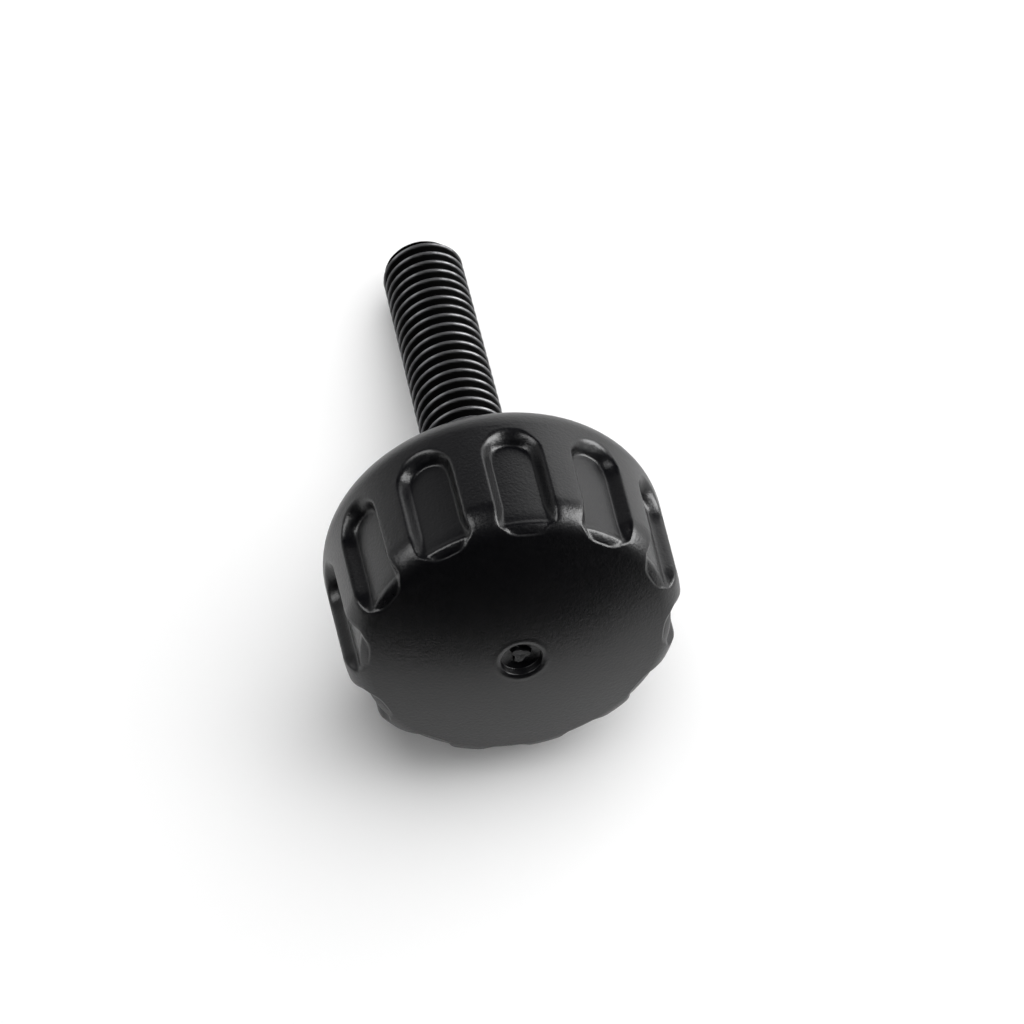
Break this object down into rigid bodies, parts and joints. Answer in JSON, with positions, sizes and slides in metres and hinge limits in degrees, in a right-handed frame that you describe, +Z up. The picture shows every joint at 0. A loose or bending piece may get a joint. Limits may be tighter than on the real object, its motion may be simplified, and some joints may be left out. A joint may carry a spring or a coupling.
{
  "type": "thumb screw",
  "caption": "Thumb screw with a round domed plastic knob, rounded grip pockets round its side and a moulded-in metric threaded steel stud.",
  "frame": {"origin": "on the surface that the screw lies on, under the middle of its box", "axes": "+Z up; +Y from the knob's dome towards the tip of the thread; the screw's own axis lies in the YZ plane and dips 16.2 degrees towards the tip"},
  "size_m": [0.023, 0.041, 0.0239],
  "materials": {
    "knob_plastic": "fine spark-eroded mould texture, black",
    "black_steel": "black oxide, rolled thread, lightly oiled"
  },
  "bodies": {
    "root": {"knob": "knob_plastic", "threaded_stud": "black_steel"}
  },
  "joints": []
}
